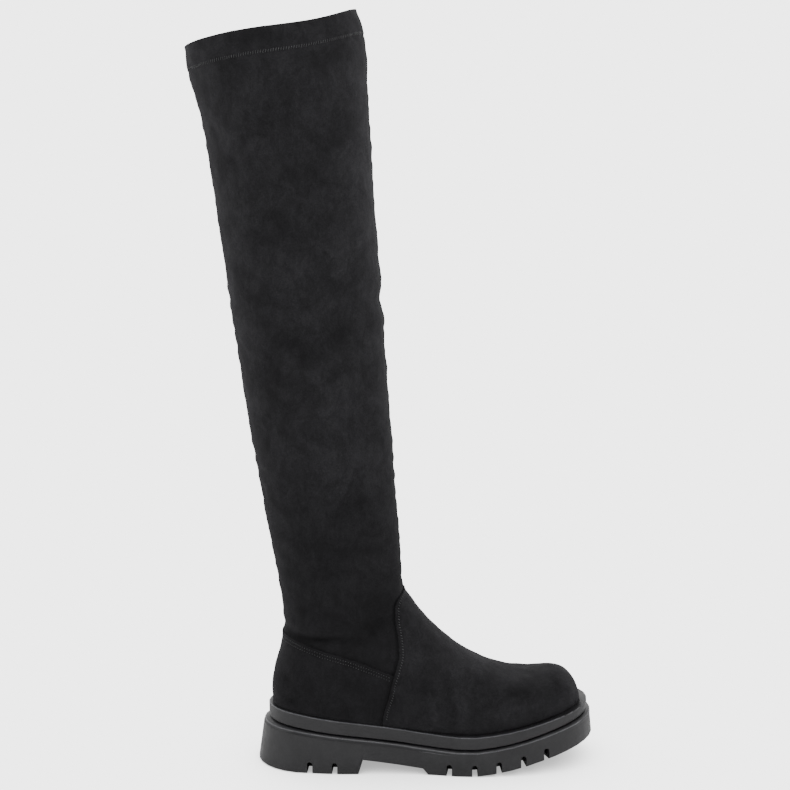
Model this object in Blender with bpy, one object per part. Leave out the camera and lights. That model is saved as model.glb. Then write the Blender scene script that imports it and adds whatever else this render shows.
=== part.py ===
"""Thigh high boot for the right foot, standing empty on its lugged sole.

The frame is in metres: +X runs from heel to toe, -Y is the outer side, +Z is up. The origin is on the
floor, at the middle of the heel's tread. Lengths along the foot are counted from the rearmost point of
the sole and moved to the origin at the end.
"""

import math

import bmesh
import bpy
import numpy as np
from mathutils import Matrix

# Lengths along the foot
SOLE_LENGTH = 0.2800
HEEL_TREAD = 0.300 * SOLE_LENGTH
UPPER_BACK = 0.0126
UPPER_TIP = SOLE_LENGTH - 0.0120
THROAT = 0.4332 * SOLE_LENGTH

# Widths
BALL_WIDTH = 0.0925
FOOT_WIDTH = 0.0800
SHAFT_WIDTH = 0.1140

# Heights of the sole: top of each tier at the heel and at the ball, and what the toe rises by
HEEL_HEIGHT = 0.0505
BALL_HEIGHT = 0.0328
HEEL_RIM = 0.0362
BALL_RIM = 0.0198
TOE_SPRING = 0.0225
TOE_RISE = 0.0195

# The arch under the sole: its heights, where it ends, and how far its two end faces slant
ARCH_BACK = 0.0123
ARCH_FRONT = 0.0052
ARCH_END = 0.490 * SOLE_LENGTH
BREAST_SLANT = 0.0037
STEP_SLANT = 0.0044

# Sizes of the sole's side
HEEL_FLARE = 0.0060
SIDE_FLARE = 0.0016
TREAD_EDGE = 0.0012
LIP_HEIGHT = 0.0028
LIP_STEP = 0.0006
LIP_END = 0.560 * SOLE_LENGTH
LIP_FADE = 0.0280
MIDSOLE_SETBACK = 0.0030
GROOVE_HEIGHT = 0.0022
GROOVE_DEPTH = 0.0035
RIM_ROUND = 0.0008
HEEL_LEDGE = 0.0010
BALL_LEDGE = 0.0050
LEDGE_FROM = 0.360 * SOLE_LENGTH
LEDGE_TO = 0.620 * SOLE_LENGTH
NOTCH_WIDTH = 0.0044
NOTCH_HEIGHT = 0.0098
NOTCH_DEPTH = 0.0140

# Heights of the leg
THROAT_HEIGHT = 0.1468
COLLAR_BACK = 0.5795
COLLAR_FRONT = 0.6077
COLLAR_DIP = 0.0052

# Wall and overlays
WALL = 0.0016
HEM_WALL = 0.0026
HEM_HEIGHT = 0.0180
HEM_STEP = 0.0005
OVERLAY = 0.0010
GAP = 0.0003
INSOLE = 0.0035

# Rounding of the outline's two ends
HEEL_ROUND = 0.0440
TOE_ROUND = 0.0580
TOE_NOSE = 0.0220
HEEL_POWER = 2.0
TOE_POWER = 2.2
NOSE_POWER = 2.0

# How far forward the collar's sides dip: 1 for the middle, more for nearer the front
DIP_FORWARD = 2.4

# How far a cutter's outline runs past the boot
BEYOND = 0.0300

# Fineness
SIDE_STATIONS = 27
ROWS_PER_SECTION = 2
SIDE_COLUMNS = 12


def table(columns, *rows):
    """A table whose columns are read by name."""
    return dict(zip(columns.split(), np.array(rows, float).T))


# Outline of the sole: the middle line and the half width, as shares of the ball's width.
PLAN = table(
    "along middle half",
    (0.00, 0.000, 0.374),
    (0.14, 0.000, 0.374),
    (0.25, 0.000, 0.398),
    (0.39, -0.022, 0.368),
    (0.51, 0.006, 0.414),
    (0.59, 0.032, 0.474),
    (0.66, 0.050, 0.500),
    (0.73, 0.056, 0.494),
    (0.80, 0.062, 0.474),
    (0.87, 0.070, 0.450),
    (1.00, 0.070, 0.450),
)

# How the sole's lines fall from the heel to the ball and rise again at the toe.
SOLE_RISE = table(
    "along heel toe",
    (0.00, 1.00, 0.00),
    (0.10, 0.94, 0.00),
    (0.20, 0.76, 0.00),
    (0.30, 0.56, 0.00),
    (0.40, 0.35, 0.00),
    (0.50, 0.12, 0.00),
    (0.59, 0.00, 0.00),
    (0.64, 0.00, 0.00),
    (0.72, 0.00, 0.13),
    (0.80, 0.00, 0.35),
    (0.87, 0.00, 0.57),
    (0.93, 0.00, 0.78),
    (1.00, 0.00, 1.00),
)

# Top line of the foot, as shares of the way from the throat to the upper's tip and of the throat's height.
RIDGE = table(
    "along up",
    (0.000, 1.000),
    (0.046, 0.941),
    (0.084, 0.881),
    (0.153, 0.797),
    (0.223, 0.727),
    (0.292, 0.662),
    (0.361, 0.612),
    (0.431, 0.573),
    (0.500, 0.540),
    (0.571, 0.512),
    (0.643, 0.496),
    (0.758, 0.493),
    (0.872, 0.508),
    (1.000, 0.515),
)

# Back of the boot from the sole to the throat's height, as shares of that rise and of the sole's length.
HEEL_BACK = table(
    "up along",
    (0.00, 0.0450),
    (0.15, 0.0443),
    (0.35, 0.0570),
    (0.60, 0.0775),
    (0.78, 0.0790),
    (1.00, 0.0690),
)

# Back and front of the shaft, as shares of its own height and of the sole's length.
SHAFT_BACK = table(
    "up along",
    (0.00, 0.0690),
    (0.10, 0.0440),
    (0.28, -0.0020),
    (0.50, -0.0490),
    (0.73, -0.0930),
    (0.90, -0.1320),
    (0.97, -0.1620),
    (1.00, -0.1650),
)
SHAFT_FRONT = table(
    "up along",
    (0.00, 0.4330),
    (0.09, 0.4240),
    (0.27, 0.4010),
    (0.50, 0.3730),
    (0.72, 0.3490),
    (0.88, 0.3340),
    (0.96, 0.3260),
    (1.00, 0.3020),
)

# The upper's sections, each in a plane across the boot from a low point to a high point.
# low: 0 at the toe, 1 at the back of the heel, 2 at the back of the hem's lower edge, 3 at the collar.
# high: 0 at the toe, 1 at the throat, 2 at the front of the hem's lower edge, 3 at the collar.
# foot, shaft: half width as shares of the foot's and the shaft's width, which add up.
# widest: where the section is widest, from low to high. crown: how full its upper part is.
# dip: how much of the collar's dip its sides have.
SECTIONS = table(
    "low high foot shaft widest crown dip",
    (0.000, 0.000, 0.450, 0.00, 0.34, 2.30, 0.00),
    (0.005, 0.008, 0.450, 0.00, 0.34, 2.30, 0.00),
    (0.020, 0.034, 0.450, 0.00, 0.34, 2.30, 0.00),
    (0.047, 0.082, 0.450, 0.00, 0.34, 2.30, 0.00),
    (0.094, 0.164, 0.455, 0.00, 0.33, 2.30, 0.00),
    (0.165, 0.287, 0.475, 0.00, 0.30, 2.25, 0.00),
    (0.266, 0.464, 0.500, 0.00, 0.28, 2.15, 0.00),
    (0.364, 0.635, 0.495, 0.00, 0.26, 2.00, 0.00),
    (0.454, 0.792, 0.460, 0.00, 0.24, 1.95, 0.00),
    (0.532, 0.920, 0.425, 0.00, 0.24, 1.90, 0.00),
    (0.587, 1.000, 0.405, 0.00, 0.28, 1.90, 0.00),
    (0.658, 1.013, 0.395, 0.00, 0.32, 1.90, 0.00),
    (0.744, 1.029, 0.393, 0.00, 0.36, 1.95, 0.00),
    (0.838, 1.048, 0.393, 0.00, 0.40, 2.00, 0.00),
    (0.920, 1.066, 0.393, 0.00, 0.43, 2.00, 0.00),
    (0.975, 1.083, 0.393, 0.00, 0.45, 2.00, 0.00),
    (1.000, 1.097, 0.395, 0.00, 0.46, 2.00, 0.00),
    (1.030, 1.112, 0.400, 0.00, 0.47, 2.00, 0.00),
    (1.067, 1.131, 0.400, 0.00, 0.48, 2.00, 0.00),
    (1.107, 1.154, 0.380, 0.015, 0.49, 2.00, 0.00),
    (1.155, 1.183, 0.330, 0.055, 0.50, 2.00, 0.00),
    (1.224, 1.228, 0.230, 0.140, 0.50, 2.05, 0.00),
    (1.312, 1.296, 0.100, 0.255, 0.50, 2.10, 0.00),
    (1.430, 1.391, 0.000, 0.360, 0.50, 2.10, 0.00),
    (1.566, 1.527, 0.000, 0.405, 0.50, 2.10, 0.00),
    (1.723, 1.689, 0.000, 0.445, 0.50, 2.10, 0.15),
    (1.880, 1.856, 0.000, 0.480, 0.50, 2.10, 0.60),
    (2.000, 2.000, 0.000, 0.498, 0.50, 2.10, 1.00),
    (3.000, 3.000, 0.000, 0.500, 0.50, 2.10, 1.00),
)

# Back edge of the vamp, from the throat down to the sole, as shares of the throat's height and the sole's length.
VAMP_EDGE = table(
    "up along",
    (0.20, 0.3670),
    (0.35, 0.3760),
    (0.45, 0.3915),
    (0.52, 0.3985),
    (0.60, 0.4110),
    (0.69, 0.4215),
    (0.78, 0.4175),
    (0.87, 0.4095),
    (0.93, 0.4085),
    (0.975, 0.4165),
    (1.005, 0.4330),
)

# Top edge of the counter, from the back of the heel to the vamp, in the same shares.
COUNTER_EDGE = table(
    "along up",
    (-0.05, 0.768),
    (0.09, 0.764),
    (0.15, 0.742),
    (0.20, 0.709),
    (0.26, 0.675),
    (0.33, 0.628),
    (0.43, 0.555),
)

# Notches between the lugs, along the sole, each on both sides.
NOTCHES = (0.159, 0.232, 0.566, 0.641, 0.712, 0.784, 0.852)

COLOURS = {
    "outsole": ((0.040, 0.040, 0.042), 0.55),
    "midsole": ((0.036, 0.036, 0.038), 0.50),
    "insole": ((0.030, 0.028, 0.028), 0.90),
    "upper": ((0.020, 0.020, 0.021), 0.95),
    "vamp": ((0.017, 0.017, 0.018), 0.95),
    "counter": ((0.016, 0.016, 0.017), 0.95),
}


def smooth(knots, values, at):
    """A smooth curve through a table's rows that never overshoots them."""
    at = np.asarray(at, float)
    width = np.diff(knots)
    slope = np.diff(values) / width
    tangent = np.zeros(len(knots))
    tangent[0], tangent[-1] = slope[0], slope[-1]
    for i in range(1, len(knots) - 1):
        if slope[i - 1] * slope[i] > 0:
            near = 2 * width[i] + width[i - 1]
            far = width[i] + 2 * width[i - 1]
            tangent[i] = (near + far) / (near / slope[i - 1] + far / slope[i])
    i = np.clip(np.searchsorted(knots, at, side="right") - 1, 0, len(width) - 1)
    t = np.clip((at - knots[i]) / width[i], 0, 1)
    start = values[i] * (1 + 2 * t) + tangent[i] * width[i] * t
    end = values[i + 1] * (3 - 2 * t) - tangent[i + 1] * width[i] * (1 - t)
    return start * (1 - t) ** 2 + end * t**2


def read(rows, column, against, at):
    """One column of a table, read smoothly against another."""
    return smooth(rows[against], rows[column], at)


def sole_line(along, heel, ball, toe_rise):
    """Height of one of the sole's lines: high at the heel, low at the ball, rising to the toe."""
    share = along / SOLE_LENGTH
    fall = read(SOLE_RISE, "heel", "along", share)
    rise = read(SOLE_RISE, "toe", "along", share)
    return ball + (heel - ball) * fall + toe_rise * rise


def sole_top(along):
    return sole_line(along, HEEL_HEIGHT, BALL_HEIGHT, TOE_RISE)


def rim_top(along):
    return sole_line(along, HEEL_RIM, BALL_RIM, TOE_SPRING)


def tread_corners():
    """Places along the sole where its underside turns: the two ends of the heel's and of the arch's end faces."""
    return [HEEL_TREAD, HEEL_TREAD + BREAST_SLANT, ARCH_END, ARCH_END + STEP_SLANT]


def tread(along):
    """Height of the sole's underside."""
    arch = np.interp(along, tread_corners(), [0, ARCH_BACK, ARCH_FRONT, 0])
    return arch + sole_line(along, 0, 0, TOE_SPRING)


def round_end(distance, length, power):
    """Share of the full width at a distance from a rounded end."""
    inside = np.clip(1 - distance / length, 0, 1)
    return (1 - inside**power) ** (1 / power)


def outline(share, back, front, inset):
    """Points of an outline at shares from back to front. Its inset is a number or a function of the place."""
    along = back + (front - back) * share
    inset = inset(along) if callable(inset) else inset
    middle = BALL_WIDTH * read(PLAN, "middle", "along", along / SOLE_LENGTH)
    half = BALL_WIDTH * read(PLAN, "half", "along", along / SOLE_LENGTH) - inset
    half = half * round_end(along - back, HEEL_ROUND, HEEL_POWER)
    half = half * round_end(front - along, TOE_ROUND, TOE_POWER)
    return along, middle - half, middle + half


def stations():
    """Shares along the sole, closer together at its rounded ends, with one at each step of the tread."""
    corners = np.array(tread_corners()) / SOLE_LENGTH
    even = 0.5 - 0.5 * np.cos(np.linspace(0, math.pi, SIDE_STATIONS + 1))
    clear = np.abs(even[:, None] - corners).min(axis=1) > NOTCH_WIDTH / 2 / SOLE_LENGTH
    return np.sort(np.concatenate([even[clear], corners]))


def add_object(name, mesh_builder):
    """An object that holds the mesh of a bmesh."""
    mesh = bpy.data.meshes.new(name)
    bmesh.ops.recalc_face_normals(mesh_builder, faces=mesh_builder.faces)
    mesh_builder.to_mesh(mesh)
    mesh_builder.free()
    thing = bpy.data.objects.new(name, mesh)
    bpy.context.scene.collection.objects.link(thing)
    return thing


def stacked(name, levels):
    """A solid from levels, each a pair of edges with its own height at every station."""
    builder = bmesh.new()
    rings = []
    for along, outer, inner, height in levels:
        near = [builder.verts.new(point) for point in zip(along, outer, height)]
        far = [builder.verts.new(point) for point in zip(along[1:-1], inner[1:-1], height[1:-1])]
        rings.append((near, [near[0]] + far + [near[-1]]))
    for low, high in zip(rings, rings[1:]):
        for side in (0, 1):
            for a, b, c, d in zip(low[side], low[side][1:], high[side][1:], high[side]):
                builder.faces.new((a, b, c, d) if side == 0 else (d, c, b, a))
    for near, far in (rings[0], rings[-1]):
        for a, b, c, d in zip(near, near[1:], far[1:], far):
            builder.faces.new(list(dict.fromkeys((a, b, c, d))))
    return add_object(name, builder)


def level(back, front, inset, height):
    """One level of a stacked solid. Its height is a function of the place along, or one value a station."""
    along, outer, inner = outline(stations(), back, front, inset)
    return along, outer, inner, height(along) if callable(height) else height


def lip_share(along):
    """The lip's step is full at the heel and runs out at the ball."""
    return np.clip((LIP_END - along) / LIP_FADE, 0, 1)


def make_outsole():
    """Lower tier: flared heel, arch, toe spring, and a small step under its top edge."""
    ground = tread(stations() * SOLE_LENGTH)
    back, front = HEEL_FLARE - RIM_ROUND, SOLE_LENGTH - SIDE_FLARE
    under_lip = lambda along: rim_top(along) - LIP_HEIGHT
    over_step = lambda along: rim_top(along) - LIP_HEIGHT + LIP_STEP / 2
    round_top = lambda along: rim_top(along) - RIM_ROUND
    lip = lambda along: SIDE_FLARE + LIP_STEP * lip_share(along)
    sole = stacked("outsole", [
        level(TREAD_EDGE, SOLE_LENGTH - TREAD_EDGE, TREAD_EDGE, ground),
        level(0, SOLE_LENGTH, 0, ground + TREAD_EDGE),
        level(back - LIP_STEP, front, SIDE_FLARE, under_lip),
        level(back, front, lip, over_step),
        level(back, front, lip, round_top),
        level(HEEL_FLARE, front - RIM_ROUND, lambda along: lip(along) + RIM_ROUND / 2, rim_top),
    ])
    for place in NOTCHES:
        for side in (-1, 1):
            cut(sole, "DIFFERENCE", notch_cutter(place, side))
    return sole


def notch_cutter(place, side):
    """A slot with a round top, running in from the sole's edge square to its outline."""
    spread = NOTCH_WIDTH / 2 / SOLE_LENGTH
    along, outer, inner = outline(np.array([place - spread, place, place + spread]), 0, SOLE_LENGTH, 0)
    edge = outer if side < 0 else inner
    run = math.atan2(edge[2] - edge[0], along[2] - along[0])
    half = NOTCH_WIDTH / 2
    top = NOTCH_HEIGHT - half
    arc = [math.pi * k / 6 for k in range(7)]
    profile = [(half, -NOTCH_HEIGHT)] + [(half * math.cos(a), top + half * math.sin(a)) for a in arc]
    profile.append((-half, -NOTCH_HEIGHT))
    builder = bmesh.new()
    ends = []
    for reach in (-NOTCH_DEPTH, NOTCH_DEPTH):
        ends.append([builder.verts.new((x, reach, z)) for x, z in profile])
    count = len(profile)
    builder.faces.new(ends[0])
    builder.faces.new(ends[1][::-1])
    for i in range(count):
        j = (i + 1) % count
        builder.faces.new((ends[0][i], ends[1][i], ends[1][j], ends[0][j]))
    bmesh.ops.rotate(builder, verts=builder.verts, cent=(0, 0, 0), matrix=Matrix.Rotation(run, 3, "Z"))
    base = (place * SOLE_LENGTH, edge[1], float(tread(place * SOLE_LENGTH)))
    bmesh.ops.translate(builder, verts=builder.verts, vec=base)
    name = "notch_outer" if side < 0 else "notch_inner"
    return add_object(f"{name}_{place:.3f}", builder)


def make_midsole():
    """Upper tier: a platform band over a groove, with a rounded rim and a flat top."""
    back = HEEL_FLARE + MIDSOLE_SETBACK
    front = SOLE_LENGTH - SIDE_FLARE - MIDSOLE_SETBACK
    edge = MIDSOLE_SETBACK
    deep = GROOVE_DEPTH
    soft = RIM_ROUND
    roof = lambda along: rim_top(along) + GROOVE_HEIGHT
    return stacked("midsole", [
        level(back + deep, front - deep, edge + deep, lambda along: rim_top(along) + GAP),
        level(back + deep, front - deep, edge + deep, roof),
        level(back + soft, front - soft, edge + soft, roof),
        level(back, front, edge, lambda along: roof(along) + soft),
        level(back, front, edge, lambda along: sole_top(along) - soft),
        level(back + soft, front - soft, edge + soft, sole_top),
    ])


def feather_inset(along):
    """How far the upper's bottom edge stands in from the sole's outline."""
    grow = np.clip((along - LEDGE_FROM) / (LEDGE_TO - LEDGE_FROM), 0, 1)
    grow = grow * grow * (3 - 2 * grow)
    ledge = HEEL_LEDGE + (BALL_LEDGE - HEEL_LEDGE) * grow
    return MIDSOLE_SETBACK + ledge + GAP + OVERLAY


def make_insole():
    """A thin sheet on the midsole, inside the upper."""
    clear = WALL + 2 * GAP
    inset = lambda s: feather_inset(s) + clear
    low = lambda s: sole_top(s) + GAP
    high = lambda s: sole_top(s) + GAP + INSOLE
    back, front = UPPER_BACK + clear, UPPER_TIP - clear
    return stacked("insole", [level(back, front, inset, low), level(back, front, inset, high)])


def feather_height(along):
    return sole_top(along) + GAP


def leg_height(place, bottom, collar):
    """Height at a place: from 1 at the bottom to 2 at the hem's lower edge, and 3 at the collar."""
    hem = collar - HEM_HEIGHT
    if place < 2:
        return bottom + (hem - bottom) * (place - 1)
    return hem + HEM_HEIGHT * (place - 2)


def low_point(place):
    """Lower end of a section: along the bottom edge up to 1, then up the back of the boot."""
    if place <= 1:
        along = UPPER_TIP - (UPPER_TIP - UPPER_BACK) * place
        return along, float(feather_height(along))
    bottom = float(feather_height(UPPER_BACK))
    height = leg_height(place, bottom, COLLAR_BACK)
    if height < THROAT_HEIGHT:
        share = (height - bottom) / (THROAT_HEIGHT - bottom)
        return SOLE_LENGTH * float(read(HEEL_BACK, "along", "up", share)), height
    share = (height - THROAT_HEIGHT) / (COLLAR_BACK - THROAT_HEIGHT)
    return SOLE_LENGTH * float(read(SHAFT_BACK, "along", "up", share)), height


def high_point(place):
    """Upper end of a section: along the foot's top line up to 1, then up the front of the shaft."""
    if place <= 1:
        along = UPPER_TIP - (UPPER_TIP - THROAT) * place
        top = THROAT_HEIGHT * float(read(RIDGE, "up", "along", 1 - place))
        bottom = float(feather_height(UPPER_TIP))
        nose = float(round_end(UPPER_TIP - along, TOE_NOSE, NOSE_POWER))
        return along, bottom + (top - bottom) * nose
    height = leg_height(place, THROAT_HEIGHT, COLLAR_FRONT)
    share = (height - THROAT_HEIGHT) / (COLLAR_FRONT - THROAT_HEIGHT)
    return SOLE_LENGTH * float(read(SHAFT_FRONT, "along", "up", share)), height


def section(step):
    """Points of one section, from the outer low end over the top to the inner one, at a fractional row."""
    rows = np.arange(len(SECTIONS["low"]), dtype=float)
    at = {name: float(smooth(rows, column, step)) for name, column in SECTIONS.items()}
    low, high = low_point(at["low"]), high_point(at["high"])
    share = (low[0] - UPPER_BACK) / (UPPER_TIP - UPPER_BACK) if at["low"] < 1 else 0.0
    along, outer, inner = outline(np.array([share]), UPPER_BACK, UPPER_TIP, feather_inset(low[0]))
    middle = float(outer[0] + inner[0]) / 2
    edge = float(inner[0] - outer[0]) / 2
    half = FOOT_WIDTH * at["foot"] + SHAFT_WIDTH * at["shaft"]
    half *= float(round_end(UPPER_TIP - high[0], TOE_ROUND, TOE_POWER)) if at["high"] < 1 else 1
    half = max(half, edge)
    if at["low"] > 2:
        half += HEM_STEP
    curve = side_curve(half, edge, at["widest"], at["crown"])
    run = (high[0] - low[0], high[1] - low[1])
    points = []
    for side, steps in ((-1, curve), (1, curve[-2::-1])):
        for out, up in steps:
            fall = COLLAR_DIP * at["dip"] * math.sin(math.pi * up**DIP_FORWARD)
            points.append((low[0] + run[0] * up, middle + side * out, low[1] + run[1] * up - fall))
    return points, edge


def side_curve(half, edge, widest, crown):
    """Half of a section as even steps of (out, up): a truncated ellipse below its widest place, a fuller
    quarter above it."""
    fine = 4 * SIDE_COLUMNS
    share = min(edge / half, 1.0) if half > 0 else 1.0
    last = math.acos(share)
    lower = [(half * math.cos(last * (1 - k / fine)), k) for k in range(fine + 1)]
    if last > 0:
        lower = [(out, widest * (1 - math.sin(last * (1 - k / fine)) / math.sin(last))) for out, k in lower]
    else:
        lower = [(out, widest * k / fine) for out, k in lower]
    upper = []
    for k in range(1, fine + 1):
        angle = math.pi / 2 * k / fine
        out = half * max(math.cos(angle), 0) ** (2 / crown)
        upper.append((out, widest + (1 - widest) * math.sin(angle) ** (2 / crown)))
    points = np.array(lower + upper)
    steps = np.hypot(np.diff(points[:, 0]), np.diff(points[:, 1]) * max(FOOT_WIDTH, 2 * half))
    reach = np.concatenate([[0], np.cumsum(steps)])
    even = np.linspace(0, reach[-1], SIDE_COLUMNS + 1)
    return list(zip(np.interp(even, reach, points[:, 0]), np.interp(even, reach, points[:, 1])))


def section_steps():
    """Fractional rows of the sheet, with one just above the hem's lower edge for the hem's own step."""
    hem = len(SECTIONS["low"]) - 2
    plain = [k / ROWS_PER_SECTION for k in range(hem * ROWS_PER_SECTION + 1)]
    return plain + [hem + HEM_STEP / HEM_HEIGHT, hem + 0.5, hem + 1]


def boot_sheet(name):
    """The boot's form as one open sheet: closed round the shaft, open at the collar and underneath."""
    builder = bmesh.new()
    weights = builder.verts.layers.deform.verify()
    hem = len(SECTIONS["low"]) - 2
    rows = []
    for step in section_steps():
        points, edge = section(step)
        if not rows:
            rows.append([builder.verts.new(points[0])] * len(points))
            continue
        row = [builder.verts.new(point) for point in points[:-1]]
        if step > hem:
            for vertex in row:
                vertex[weights][0] = 1.0
        row.append(row[0] if edge <= 0 else builder.verts.new(points[-1]))
        rows.append(row)
    for low, high in zip(rows, rows[1:]):
        for a, b, c, d in zip(low, low[1:], high[1:], high):
            corners = list(dict.fromkeys((a, b, c, d)))
            if len(corners) > 2:
                builder.faces.new(corners)
    bmesh.ops.recalc_face_normals(builder, faces=builder.faces)
    mesh = bpy.data.meshes.new(name)
    builder.to_mesh(mesh)
    builder.free()
    thing = bpy.data.objects.new(name, mesh)
    thing.vertex_groups.new(name="hem")
    bpy.context.scene.collection.objects.link(thing)
    return thing


def make_upper():
    """The hollow upper: the sheet with its wall, thicker at the folded hem."""
    upper = boot_sheet("upper")
    wall = upper.modifiers.new("wall", "SOLIDIFY")
    wall.thickness = HEM_WALL
    wall.offset = -1
    wall.vertex_group = "hem"
    wall.thickness_vertex_group = WALL / HEM_WALL
    return upper


def make_overlay(name, region):
    """A panel over the upper: the boot's form between two larger ones, inside a side-view region."""
    panel = boot_sheet(name)
    wall = panel.modifiers.new("wall", "SOLIDIFY")
    wall.thickness = OVERLAY
    wall.offset = 1 + 2 * GAP / OVERLAY
    cut(panel, "INTERSECT", region)
    return panel


def side_prism(name, points):
    """A solid that runs right across the boot from an outline in side view."""
    builder = bmesh.new()
    reach = SHAFT_WIDTH
    ends = [[builder.verts.new((along, side, up)) for along, up in points] for side in (-reach, reach)]
    builder.faces.new(ends[0])
    builder.faces.new(ends[1][::-1])
    count = len(points)
    for i in range(count):
        j = (i + 1) % count
        builder.faces.new((ends[0][i], ends[1][i], ends[1][j], ends[0][j]))
    bmesh.ops.triangulate(builder, faces=[face for face in builder.faces if len(face.verts) > 4])
    return add_object(name, builder)


def above_sole(start, end):
    """Points just above the upper's bottom edge, between two places along the sole."""
    along = np.linspace(start, end, SIDE_STATIONS)
    return list(zip(along, feather_height(along) + GAP))


def vamp_back(height):
    """Place of the vamp's back edge at a height."""
    return SOLE_LENGTH * read(VAMP_EDGE, "along", "up", height / THROAT_HEIGHT)


def counter_top(along):
    """Height of the counter's top edge at a place along the sole."""
    return THROAT_HEIGHT * read(COUNTER_EDGE, "up", "along", along / SOLE_LENGTH)


def vamp_edge(clear):
    """Points of the vamp's back edge from the throat down to the sole, moved back by a clearance."""
    up = THROAT_HEIGHT * np.linspace(VAMP_EDGE["up"][-1], VAMP_EDGE["up"][0], SIDE_STATIONS)
    along = vamp_back(up) - clear
    return [point for point in zip(along, up) if point[1] > feather_height(point[0]) + 2 * GAP]


def vamp_region():
    """The vamp in side view: all in front of its back edge, from just above the sole."""
    edge = vamp_edge(0)
    end, top = SOLE_LENGTH + BEYOND, THROAT_HEIGHT + BEYOND
    floor = above_sole(edge[-1][0], end)
    return side_prism("vamp_region", edge + floor + [(end, top), (THROAT + BEYOND, top)])


def counter_region():
    """The counter in side view: all under its top edge and behind the vamp, from just above the sole."""
    edge = [point for point in vamp_edge(GAP) if point[1] < counter_top(point[0])]
    along = np.linspace(-BEYOND, edge[0][0], SIDE_STATIONS // 2)
    floor = above_sole(edge[-1][0], -BEYOND)
    return side_prism("counter_region", list(zip(along, counter_top(along))) + edge[1:] + floor)


def cut(thing, operation, cutter):
    """A Boolean with a cutter that stays out of the model."""
    cutter.hide_render = True
    cutter.display_type = "WIRE"
    change = thing.modifiers.new(cutter.name, "BOOLEAN")
    change.operation = operation
    change.solver = "EXACT"
    change.object = cutter


def finish(thing):
    """Gives a piece its material and moves it to the origin at the middle of the heel."""
    colour, roughness = COLOURS[thing.name]
    material = bpy.data.materials.new(thing.name)
    material.use_nodes = True
    shader = material.node_tree.nodes["Principled BSDF"]
    shader.inputs["Base Color"].default_value = (*colour, 1)
    shader.inputs["Roughness"].default_value = roughness
    shader.inputs["Metallic"].default_value = 0
    thing.data.materials.append(material)
    thing.data.shade_smooth()
    thing.data.set_sharp_from_angle(angle=math.radians(35))


def main():
    for old in list(bpy.data.objects):
        bpy.data.objects.remove(old, do_unlink=True)
    pieces = [make_outsole(), make_midsole(), make_insole(), make_upper()]
    pieces.append(make_overlay("vamp", vamp_region()))
    pieces.append(make_overlay("counter", counter_region()))
    for piece in pieces:
        finish(piece)
    for thing in bpy.data.objects:
        thing.location.x = -HEEL_TREAD / 2


main()
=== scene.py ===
"""Thigh high boot in black brushed suede on a lugged rubber sole.

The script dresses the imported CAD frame. Lengths are in metres in the CAD's own frame: +X runs to the toe,
-Y is the outer side and +Z is up. Each operator makes one piece, or one group of like pieces.
"""

import math

import bmesh
import bpy
import numpy as np
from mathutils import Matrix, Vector
from mathutils.bvhtree import BVHTree


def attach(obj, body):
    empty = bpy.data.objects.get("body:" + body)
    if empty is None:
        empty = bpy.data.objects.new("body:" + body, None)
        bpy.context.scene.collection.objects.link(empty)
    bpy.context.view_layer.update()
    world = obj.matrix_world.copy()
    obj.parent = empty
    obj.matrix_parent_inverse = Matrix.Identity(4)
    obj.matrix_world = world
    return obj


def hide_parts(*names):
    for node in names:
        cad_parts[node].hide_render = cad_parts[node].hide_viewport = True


bl_info = {
    "name": "Thigh High Boot",
    "version": (1, 0, 0),
    "blender": (4, 5, 0),
    "location": "View3D > Sidebar > Boot",
    "description": "Dresses the frame of a thigh high boot in suede, thread and rubber",
    "category": "Add Mesh",
}

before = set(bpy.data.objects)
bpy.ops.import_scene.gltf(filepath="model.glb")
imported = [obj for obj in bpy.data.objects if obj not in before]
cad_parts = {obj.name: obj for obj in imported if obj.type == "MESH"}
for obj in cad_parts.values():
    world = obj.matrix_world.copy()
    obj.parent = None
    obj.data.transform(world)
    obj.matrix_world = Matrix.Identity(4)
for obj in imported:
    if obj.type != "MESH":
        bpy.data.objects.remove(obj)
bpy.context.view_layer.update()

MM = 1000  # millimetres in a metre
SHAFT_START = 0.150  # height where the foot runs into the shaft
BEHIND_BAND = 0.044  # height where the panels' edges end, behind the platform band
PANELS_TOP = 0.160  # height that no panel or panel's seam reaches
COLLAR_ABOVE = 0.4  # open edges above this height are the collar's

# Back edge of the vamp, from the sole up to the throat: place along the boot and height.
VAMP_EDGE = (
    (0.0608, 0.0294),
    (0.0633, 0.0514),
    (0.0676, 0.0661),
    (0.0696, 0.0763),
    (0.0731, 0.0881),
    (0.0760, 0.1013),
    (0.0749, 0.1145),
    (0.0727, 0.1277),
    (0.0724, 0.1365),
    (0.0746, 0.1431),
    (0.0792, 0.1475),
)

# Top edge of the counter, from behind the heel to the vamp: place along the boot and height.
COUNTER_EDGE = (
    (-0.0560, 0.1127),
    (-0.0168, 0.1122),
    (0.0000, 0.1089),
    (0.0140, 0.1041),
    (0.0308, 0.0991),
    (0.0504, 0.0922),
    (0.0784, 0.0815),
)

# Rows of stitches: how far in front of the vamp's edge, and below the counter's edge.
VAMP_ROWS = (0.0030,)
COUNTER_ROWS = (0.0027, 0.0054)

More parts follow.
